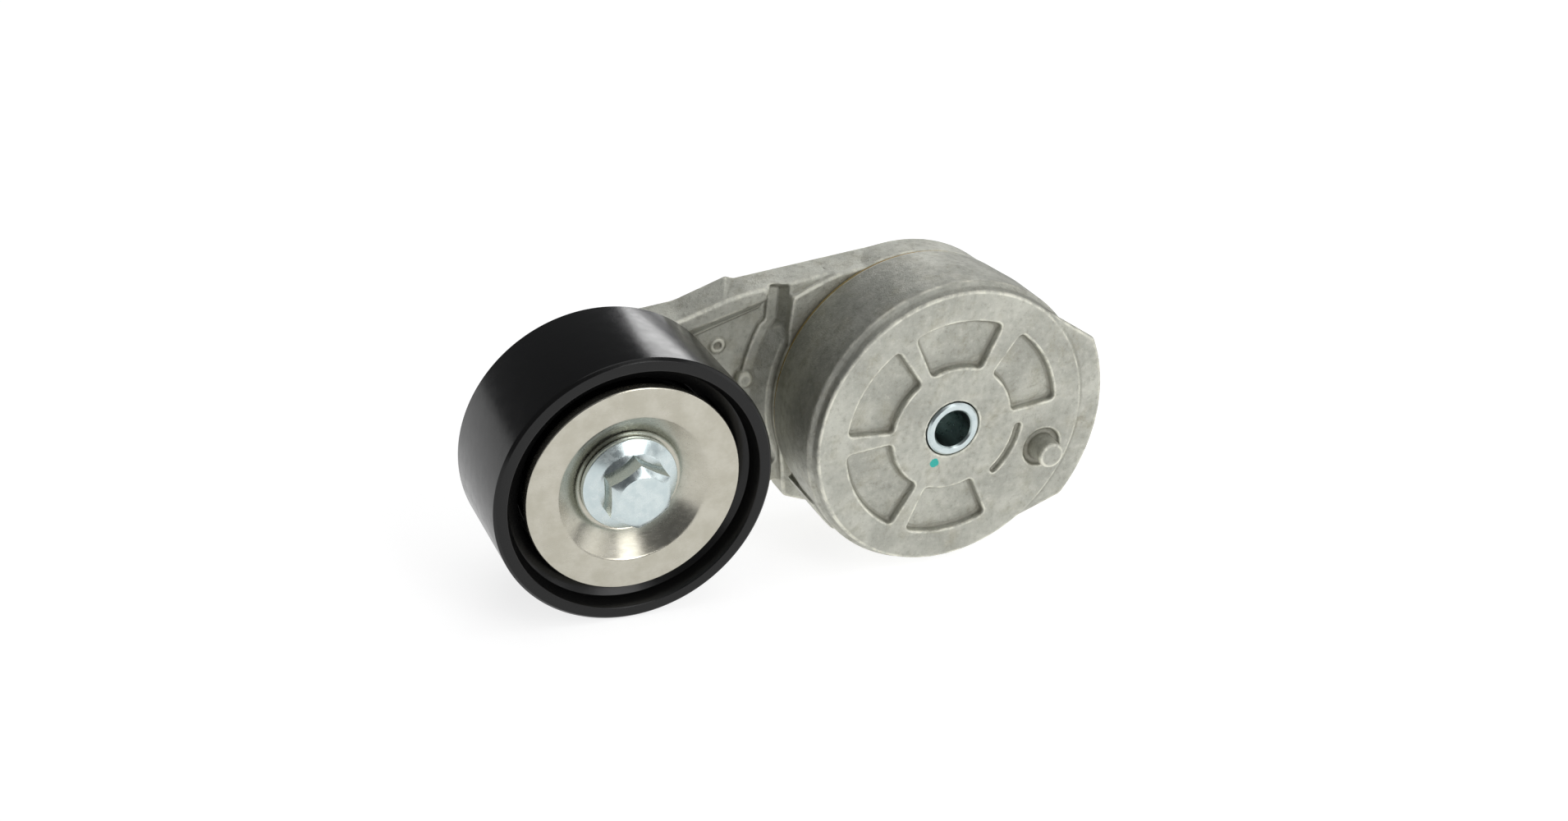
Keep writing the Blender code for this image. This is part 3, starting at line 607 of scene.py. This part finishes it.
def make_shields():
    """The pressed covers on both sides of the bearing, which the bolt holds still."""
    hole, sheet = 6.6, 1.0
    front = turned("front_shield_pressed", rounded([
        (20.9, SHIELD_FRONT, 2.2),
        (SHIELD_RADIUS, SHIELD_FRONT, 0.6),
        (SHIELD_RADIUS, 0.9, 0.2),
        (SHIELD_RADIUS - sheet, 0.9, 0.2),
        (SHIELD_RADIUS - sheet, -0.6, 0.3),
        (21.4, -0.6, 1.5),
        (14.8, 4.8, 1.5),
        (hole, 4.8),
        (hole, 3.7),
        (14.2, 3.7, 1.5),
    ], 8), AXLE, 192)
    crisp(front)
    dress(front, "arm", "shield_steel", SHIELD_STEEL, "dust_shield_front")
    near, far = REAR_SHIELD
    rear = turned("rear_shield_pressed", rounded([
        (hole, near),
        (12.5, near, 1.0),
        (16.5, far - sheet, 1.0),
        (REAR_SHIELD_RADIUS, far - sheet, 0.2),
        (REAR_SHIELD_RADIUS, far, 0.2),
        (16.1, far, 1.0),
        (12.1, near + sheet, 1.0),
        (hole, near + sheet),
    ], 6), AXLE, 128)
    crisp(rear)
    dress(rear, "arm", "shield_steel", SHIELD_STEEL, "dust_shield_rear")


def make_bolt():
    """A flanged hexagon bolt whose head is trimmed by a cone."""
    flats, turn = 16.0, 32
    corner = flats / 2 / math.cos(math.radians(30))
    shank, flange, thread_start = 6.0, 3.4, 27.0
    bolt = turned("pulley_bolt_turned", rounded([
        (0.0, -2.0),
        (7.0, -2.0),
        (flats / 2 + 1.4, 0.3, 1.2),
        (BOLT_FLANGE, 1.6, 0.35),
        (BOLT_FLANGE, flange, 0.4),
        (shank, flange, 0.3),
        (shank, thread_start),
        *thread(thread_start, BOLT_BACK - 1.0, shank),
        (shank - 1.0, BOLT_BACK, 0.2),
        (0.0, BOLT_BACK),
    ], 4), AXLE, 96)
    hexagon = plate("hexagon", arc(corner, turn, turn + 300, 5, AXLE), BOLT_FRONT, 1.0)
    outer = corner + 0.2
    trim = turned("trim", [
        (0.0, BOLT_FRONT - 1.0),
        (flats / 2 - 3.3, BOLT_FRONT - 1.0),
        (flats / 2 - 1.5, BOLT_FRONT),
        (outer, BOLT_FRONT + 1.7),
        (outer, 2.0),
        (0.0, 2.0),
    ], AXLE, 96)
    combine(hexagon, "INTERSECT", trim)
    combine(bolt, "UNION", hexagon)
    edge = bolt.modifiers.new("edge", "BEVEL")
    edge.width = 0.18 * MM
    edge.segments = 2
    edge.limit_method = "ANGLE"
    edge.angle_limit = math.radians(28)
    baked(bolt)
    crisp(bolt, 30)
    dress(bolt, "arm", "zinc_plate", ZINC, "pulley_bolt")


def thread(start, end, radius):
    """The zigzag of a thread's crests and roots, as rings."""
    pitch, deep = 1.25, 0.7
    count = int((end - start) / pitch)
    rings = []
    for i in range(count):
        rings.append((radius - deep, start + (i + 0.5) * pitch))
        rings.append((radius, start + (i + 1) * pitch))
    return rings


# ---------------------------------------------------------------- pivot


def make_pivot():
    """The steel sleeve, the amber ring in the seam and the plate that holds the arm on."""
    bore, edge = 5.5, 0.55
    sleeve = turned("pivot_sleeve_turned", rounded([
        (bore + edge, SLEEVE_FRONT, 0.12),
        (SLEEVE_RADIUS - edge, SLEEVE_FRONT, 0.15),
        (SLEEVE_RADIUS, SLEEVE_FRONT + edge, 0.15),
        (SLEEVE_RADIUS, SLEEVE_BACK - edge, 0.15),
        (SLEEVE_RADIUS - edge, SLEEVE_BACK, 0.15),
        (bore + edge, SLEEVE_BACK, 0.12),
        (bore, SLEEVE_BACK - edge, 0.15),
        (bore, SLEEVE_FRONT + edge, 0.15),
    ]), PIVOT, 128)
    crisp(sleeve, 50)
    dress(sleeve, "case", "zinc_plate", SLEEVE_STEEL, "pivot_sleeve")
    inner, outer = 38.9, 41.25
    ring = turned("seam_ring_moulded", rounded([
        (inner, SEAM_FRONT, 0.1),
        (outer, SEAM_FRONT, 0.15),
        (outer, SEAM_BACK, 0.15),
        (inner, SEAM_BACK, 0.1),
    ]), PIVOT, 192)
    crisp(ring, 50)
    dress(ring, "arm", "amber_nylon", AMBER, "seam_ring")
    hole, dish = 11.3, PLATE_BACK - 0.35
    washer = turned("retaining_plate_pressed", rounded([
        (hole, PLATE_FRONT, 0.1),
        (PLATE_RADIUS, PLATE_FRONT, 0.2),
        (PLATE_RADIUS, PLATE_BACK, 0.6),
        (17.5, PLATE_BACK, 0.8),
        (17.0, dish, 0.8),
        (hole, dish, 0.1),
    ]), PIVOT, 128)
    crisp(washer, 50)
    dress(washer, "case", "zinc_plate", ZINC, "retaining_plate")


# ---------------------------------------------------------------- materials


class Surface:
    """A node material being built: its tree, its shader and short ways to add nodes."""

    def __init__(self, name):
        self.material = bpy.data.materials.new(name)
        self.material.use_nodes = True
        self.tree = self.material.node_tree
        self.shader = self.tree.nodes["Principled BSDF"]
        self.place = self.node("ShaderNodeTexCoord").outputs["Object"]

    def node(self, kind, **values):
        """A new node with the given settings."""
        made = self.tree.nodes.new(kind)
        for key, value in values.items():
            setattr(made, key, value)
        return made

    def feed(self, socket, value):
        """Link a socket to another one, or give it a plain value."""
        if isinstance(value, bpy.types.NodeSocket):
            self.tree.links.new(value, socket)
        else:
            socket.default_value = value

    def math(self, operation, a, b=0.0, clamp=False):
        """The result of a math node."""
        made = self.node("ShaderNodeMath", operation=operation, use_clamp=clamp)
        self.feed(made.inputs[0], a)
        self.feed(made.inputs[1], b)
        return made.outputs[0]

    def noise(self, per_mm, detail=4.0, rough=0.55, stretch=None):
        """Noise with so many features per millimetre, from 0 to 1."""
        made = self.node("ShaderNodeTexNoise")
        made.inputs["Scale"].default_value = per_mm / MM
        made.inputs["Detail"].default_value = detail
        made.inputs["Roughness"].default_value = rough
        place = self.place
        if stretch is not None:
            scale = self.node("ShaderNodeMapping")
            scale.inputs["Scale"].default_value = stretch
            self.feed(scale.inputs["Vector"], place)
            place = scale.outputs[0]
        self.feed(made.inputs["Vector"], place)
        return made.outputs["Fac"]

    def ramp(self, value, low, high, start=0.0, end=1.0):
        """The value mapped from low..high to start..end, and held outside."""
        made = self.node("ShaderNodeMapRange", interpolation_type="SMOOTHSTEP")
        for socket, given in zip(made.inputs, (value, low, high, start, end)):
            self.feed(socket, given)
        return made.outputs[0]

    def mix(self, share, a, b):
        """Colour a to colour b by a share."""
        made = self.node("ShaderNodeMix", data_type="RGBA")
        self.feed(made.inputs[0], share)
        self.feed(made.inputs[6], a)
        self.feed(made.inputs[7], b)
        return made.outputs[2]

    def bump(self, height, distance, strength, under=None):
        """A bumped normal, from a height that stands for a distance in millimetres."""
        made = self.node("ShaderNodeBump")
        made.inputs["Distance"].default_value = distance * MM
        made.inputs["Strength"].default_value = strength
        self.feed(made.inputs["Height"], height)
        if under is not None:
            self.feed(made.inputs["Normal"], under)
        return made.outputs[0]

    def far_from(self, point, depth):
        """The distance in metres to a point of the frame."""
        made = self.node("ShaderNodeVectorMath", operation="DISTANCE")
        self.feed(made.inputs[0], self.place)
        made.inputs[1].default_value = place(point, depth)
        return made.outputs["Value"]

    def finish(self, colour, rough, metal, normal=None, **others):
        """Feed the shader, and return the material."""
        self.feed(self.shader.inputs["Base Color"], colour)
        self.feed(self.shader.inputs["Roughness"], rough)
        self.feed(self.shader.inputs["Metallic"], metal)
        if normal is not None:
            self.feed(self.shader.inputs["Normal"], normal)
        for key, value in others.items():
            self.feed(self.shader.inputs[key.replace("_", " ")], value)
        return self.material


def rgb(red, green, blue):
    return (red, green, blue, 1.0)


def olive(value):
    """The slightly olive grey of bare die-cast aluminium."""
    return rgb(value * 0.995, value, value * 0.89)


def shaded(colour, share):
    """A colour at a share of its brightness."""
    return rgb(*(part * share for part in colour[:3]))


def casting(name, light, dark, paint_mark=False):
    """Blasted die-cast aluminium: cloudy tone, fine grain, pale edges from wear and painted
    highlight, painted shade in hollows.

    The paint mark is the small teal dot on the case's face.
    """
    stained, worn_edge_highlight = rgb(0.35, 0.33, 0.25), rgb(0.88, 0.87, 0.76)
    dark_fleck, pale_fleck = rgb(0.25, 0.24, 0.20), rgb(0.68, 0.68, 0.61)
    corner_shade, teal = rgb(0.20, 0.19, 0.15), rgb(0.02, 0.44, 0.38)
    dot, dot_outside, dot_inside = (-4.4, -10.2), 1.95 * MM, 1.75 * MM
    surface = Surface(name)
    cloud = surface.noise(0.07, 6.0, 0.62)
    speckle = surface.noise(0.5, 6.0, 0.75)
    grain = surface.noise(2.0, 4.0, 0.7)
    tone = surface.mix(surface.ramp(cloud, 0.36, 0.66), dark, light)
    stain = surface.ramp(surface.noise(0.13, 6.0, 0.72), 0.48, 0.7)
    tone = surface.mix(surface.math("MULTIPLY", stain, 0.5), tone, stained)
    tone = surface.mix(surface.ramp(speckle, 0.5, 0.68, 0.0, 0.45), tone, dark_fleck)
    tone = surface.mix(surface.ramp(speckle, 0.48, 0.32, 0.0, 0.4), tone, pale_fleck)
    edge = surface.node("ShaderNodeAttribute", attribute_name="bend").outputs["Fac"]
    patchy = surface.ramp(surface.noise(0.22, 5.0, 0.65), 0.38, 0.62, 0.12, 0.75)
    # Convex edges turn pale, partly as wear and partly as a painted highlight.
    wear_and_highlight = surface.math("MULTIPLY", surface.ramp(edge, 0.05, 0.42), patchy)
    tone = surface.mix(wear_and_highlight, tone, worn_edge_highlight)
    # Hollows and inside corners turn darker: a painted shade.
    corner_shade_share = surface.ramp(edge, -0.06, -0.40)
    tone = surface.mix(surface.math("MULTIPLY", corner_shade_share, 0.5), tone, corner_shade)
    metal = 0.9
    if paint_mark:
        wobble = surface.math("MULTIPLY", surface.noise(0.9), 0.9 * MM)
        reach = surface.math("ADD", surface.far_from(dot, 0.0), wobble)
        mark = surface.ramp(reach, dot_outside, dot_inside)
        tone = surface.mix(mark, tone, teal)
        metal = surface.math("SUBTRACT", metal, mark, clamp=True)
    rough = surface.ramp(cloud, 0.3, 0.7, 0.5, 0.42)
    rough = surface.math("ADD", rough, surface.math("MULTIPLY", speckle, 0.1))
    normal = surface.bump(grain, 0.10, 0.9)
    normal = surface.bump(speckle, 0.30, 0.8, normal)
    return surface.finish(tone, rough, metal, normal)


def black_paint():
    """Glossy black enamel with a faint orange peel and a little dust."""
    surface = Surface("black_enamel")
    enamel, dusty = rgb(0.005, 0.005, 0.005), rgb(0.02, 0.02, 0.018)
    dust = surface.ramp(surface.noise(1.6, 4.0, 0.7), 0.62, 0.85)
    tone = surface.mix(surface.math("MULTIPLY", dust, 0.25), enamel, dusty)
    rough = surface.ramp(surface.noise(0.25), 0.3, 0.7, 0.19, 0.25)
    normal = surface.bump(surface.noise(0.35, 2.0), 0.04, 0.5)
    return surface.finish(tone, rough, 0.0, normal, Specular_IOR_Level=0.3)


def shield_steel():
    """Bright rolled steel sheet, slightly warm, with soft cloudy reflections."""
    surface = Surface("pressed_steel")
    dark, light = rgb(0.45, 0.43, 0.36), rgb(0.52, 0.50, 0.43)
    cloud = surface.noise(0.16, 4.0, 0.6)
    lines = surface.noise(1.2, 3.0, 0.6, stretch=(0.12, 1.0, 1.0))
    tone = surface.mix(surface.ramp(cloud, 0.3, 0.7), dark, light)
    rough = surface.ramp(lines, 0.3, 0.7, 0.22, 0.28)
    normal = surface.bump(lines, 0.006, 0.4)
    normal = surface.bump(cloud, 0.05, 0.3, normal)
    return surface.finish(tone, rough, 1.0, normal)


def zinc(name, rough_low, rough_high, shaded_bore=False):
    """Clear zinc plating: pale, cool, fine-grained. A shaded bore is painted dark inside, as
    shade, with lighter streaks along it.
    """
    surface = Surface(name)
    dark, light = rgb(0.53, 0.61, 0.62), rgb(0.63, 0.70, 0.70)
    cloud = surface.noise(0.45, 4.0, 0.6)
    grain = surface.noise(4.0, 2.0, 0.5)
    tone = surface.mix(surface.ramp(cloud, 0.3, 0.72), dark, light)
    rough = surface.ramp(cloud, 0.3, 0.7, rough_low, rough_high)
    if shaded_bore:
        # The bore's inside gets a painted shade with lighter lengthwise streaks.
        axes = surface.node("ShaderNodeSeparateXYZ")
        surface.feed(axes.inputs[0], surface.place)
        square = [surface.math("POWER", axes.outputs[i], 2.0) for i in (0, 2)]
        radius = surface.math("SQRT", surface.math("ADD", *square))
        streak = surface.noise(0.6, 4.0, 0.7, stretch=(1.0, 0.1, 1.0))
        bore_shade = surface.mix(streak, rgb(0.25, 0.31, 0.31), rgb(0.52, 0.60, 0.58))
        in_bore = surface.ramp(radius, 6.0 * MM, 5.7 * MM)
        tone = surface.mix(in_bore, tone, bore_shade)
    return surface.finish(tone, rough, 1.0, surface.bump(grain, 0.006, 0.4))


def polished(name, colour, rough):
    """Ground steel with fine lathe lines round the Y axis."""
    surface = Surface(name)
    lines = surface.noise(1.5, 3.0, 0.6, stretch=(0.2, 4.0, 0.2))
    tone = surface.mix(surface.ramp(lines, 0.3, 0.7), shaded(colour, 0.8), colour)
    rough = surface.ramp(lines, 0.3, 0.7, rough, rough + 0.1)
    return surface.finish(tone, rough, 1.0, surface.bump(lines, 0.01, 0.4))


def moulded(name, colour, rough):
    """Moulded nylon or rubber with a slight grain."""
    surface = Surface(name)
    grain = surface.noise(1.8, 4.0, 0.6)
    tone = surface.mix(surface.ramp(grain, 0.35, 0.7), shaded(colour, 0.7), colour)
    rough = surface.ramp(grain, 0.3, 0.7, rough, rough + 0.12)
    return surface.finish(tone, rough, 0.0, surface.bump(grain, 0.03, 0.5))


CASE_METAL = casting("case_cast_aluminium", olive(0.55), olive(0.42), paint_mark=True)
ARM_METAL = casting("arm_cast_aluminium", olive(0.62), olive(0.50))
BLACK_PAINT = black_paint()
SHIELD_STEEL = shield_steel()
ZINC = zinc("zinc_plated_steel", 0.2, 0.3)
SLEEVE_STEEL = zinc("sleeve_steel", 0.26, 0.36, shaded_bore=True)
BEARING_STEEL = polished("ground_bearing_steel", rgb(0.60, 0.60, 0.62), 0.12)
SPRING_STEEL = polished("oiled_spring_steel", rgb(0.13, 0.14, 0.16), 0.3)
AMBER = moulded("amber_nylon_moulded", rgb(0.46, 0.34, 0.13), 0.45)
BLACK_NYLON = moulded("black_nylon_moulded", rgb(0.03, 0.03, 0.03), 0.5)
RUBBER = moulded("seal_rubber_moulded", rgb(0.02, 0.02, 0.022), 0.6)

# ---------------------------------------------------------------- putting it together


def dress(obj, body, slot, material, *nodes):
    """Give a finished piece its material and its body, and hide the nodes it stands for. The slot
    is not used.
    """
    obj.data.materials.clear()
    obj.data.materials.append(material)
    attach(obj, body)
    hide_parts(*nodes)


def make_spring():
    """The coil, smooth and fine, in one fixed shape; on the real part one end stays with the case
    and the other turns with the arm.
    """
    wire, radius, turns, start = 3.35, 27.7, 2.5, 150
    steps_per_turn, slack = 96, 0.05
    near, far = depths("torsion_spring")
    first, rise = near + wire + slack, far - near - 2 * wire - 2 * slack
    curve = bpy.data.curves.new("torsion_spring_wire", "CURVE")
    curve.dimensions = "3D"
    curve.bevel_depth = wire * MM
    curve.bevel_resolution = 6
    curve.use_fill_caps = True
    spline = curve.splines.new("POLY")
    steps = int(turns * steps_per_turn)
    spline.points.add(steps)
    for i, point in enumerate(spline.points):
        share = i / steps
        spot = polar(radius, start + 360 * turns * share)
        point.co = (*place(spot, first + rise * share), 1.0)
    obj = add("torsion_spring_wire", curve)
    bpy.context.view_layer.update()
    graph = bpy.context.evaluated_depsgraph_get()
    mesh = bpy.data.meshes.new_from_object(obj.evaluated_get(graph))
    bpy.data.objects.remove(obj)
    coil = add("torsion_spring_wire", mesh)
    mesh.materials.clear()
    mesh.materials.append(SPRING_STEEL)
    crisp(coil, 50)
    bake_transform(coil)
    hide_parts("torsion_spring")


CARRIED = {
    "pivot_bushing": AMBER,
    "thrust_washer": AMBER,
    "ball_cage": AMBER,
    "damper_shoe": BLACK_NYLON,
    "bearing_spacer": ZINC,
    "bearing_circlip": SPRING_STEEL,
    "bearing_inner_ring": BEARING_STEEL,
    "bearing_outer_ring": BEARING_STEEL,
    "bearing_seal_front": RUBBER,
    "bearing_seal_rear": RUBBER,
    **{f"bearing_ball_{i}": BEARING_STEEL for i in range(1, 9)},
}


def dress_carried():
    """The inner pieces keep their CAD shapes and get their materials."""
    for node, material in CARRIED.items():
        for slot in frame["nodes"][node].material_slots:
            slot.material = material


# ---------------------------------------------------------------- stage, lights, camera

# The floor's reach on every side, its distance below the part, both in metres, and its glow.
FLOOR_REACH = 30.0
FLOOR_GAP = 0.0002
FLOOR_GLOW = 0.80
WORLD_STRENGTH = 0.14

# Name, direction from the part's middle, distance in metres, size in metres, radiance.
SOFTBOXES = (
    ("right", (0.85, -0.35, 0.42), 1.0, (0.8, 0.7), 1.0),
    ("front", (0.68, -0.70, 0.20), 1.1, (0.6, 0.36), 0.55),
    ("key", (0.30, -0.78, 0.55), 1.1, (0.40, 0.95), 2.7),
    ("flange", (0.24, -0.93, 0.25), 0.9, (0.26, 0.16), 5.0),
    ("back", (0.47, 0.80, 0.36), 1.0, (0.24, 0.36), 4.6),
)
OVERHEAD_STRENGTH = 0.95
OVERHEAD_DEGREES = 60
OVERHEAD_FROM = (0.12, 0.08, 0.98)

# The photograph's camera: where it looks, from how far, and its turn, tilt and roll in degrees.
CAMERA_TARGET = (-0.04772, 0.010, 0.00654)
CAMERA_DISTANCE = 0.51365
CAMERA_TURN, CAMERA_TILT, CAMERA_ROLL = 27.078, 26.41, 6.005
CAMERA_LENS, CAMERA_SENSOR = 43.79, 36.0


def make_stage():
    """A wide pale floor just below the part, which glows a little to be even."""
    body = bmesh.new()
    bmesh.ops.create_grid(body, x_segments=2, y_segments=2, size=FLOOR_REACH)
    floor = from_bmesh("studio_floor", body)
    floor.location = (0, 0, FLOOR_Z - FLOOR_GAP)
    surface = Surface("studio_floor_paper")
    tone = surface.mix(surface.noise(0.02), rgb(0.37, 0.37, 0.37), rgb(0.39, 0.39, 0.39))
    white = rgb(1.0, 1.0, 1.0)
    surface.finish(tone, 0.9, 0.0, Emission_Color=white, Emission_Strength=FLOOR_GLOW)
    floor.data.materials.append(surface.material)


def aim(lamp, away):
    """Turn a lamp so that it shines from the given direction."""
    lamp.rotation_euler = away.to_track_quat("Z", "Y").to_euler()


def softbox(name, direction, distance, size, radiance):
    """A rectangular softbox that far from the part's middle, seen with the given radiance."""
    middle = (CAD_LOW + CAD_HIGH) / 2
    light = bpy.data.lights.new(name, "AREA")
    light.shape = "RECTANGLE"
    light.size, light.size_y = size
    light.energy = radiance * math.pi * size[0] * size[1]
    lamp = add(name, light)
    away = Vector(direction).normalized()
    lamp.location = middle + away * distance
    aim(lamp, away)


def make_lights():
    """A dim cool world, the softboxes and a wide soft light from above."""
    world = bpy.data.worlds.new("studio")
    bpy.context.scene.world = world
    world.use_nodes = True
    background = world.node_tree.nodes["Background"]
    background.inputs["Color"].default_value = rgb(0.95, 0.97, 1.0)
    background.inputs["Strength"].default_value = WORLD_STRENGTH
    for box in SOFTBOXES:
        softbox(*box)
    light = bpy.data.lights.new("overhead", "SUN")
    light.energy = OVERHEAD_STRENGTH
    light.angle = math.radians(OVERHEAD_DEGREES)
    aim(add("overhead", light), Vector(OVERHEAD_FROM))


def make_camera():
    """The camera of the photograph: turned from +Y to +X, tilted down, then rolled."""
    turn, tilt = math.radians(CAMERA_TURN), math.radians(CAMERA_TILT)
    flat = math.cos(tilt)
    ahead = Vector((math.sin(turn) * flat, math.cos(turn) * flat, -math.sin(tilt)))
    camera = bpy.data.cameras.new("camera")
    camera.lens = CAMERA_LENS
    camera.sensor_width = CAMERA_SENSOR
    camera.clip_start = 0.01
    obj = add("camera", camera)
    obj.matrix_world = (
        Matrix.Translation(Vector(CAMERA_TARGET) - ahead * CAMERA_DISTANCE)
        @ ahead.to_track_quat("-Z", "Y").to_matrix().to_4x4()
        @ Matrix.Rotation(math.radians(CAMERA_ROLL), 4, "Z")
    )
    bpy.context.scene.camera = obj
    bpy.context.scene.view_settings.view_transform = "Standard"


make_camera()
make_stage()
make_lights()
make_case()
make_arm()
make_pulley()
make_shields()
make_bolt()
make_pivot()
make_spring()
dress_carried()
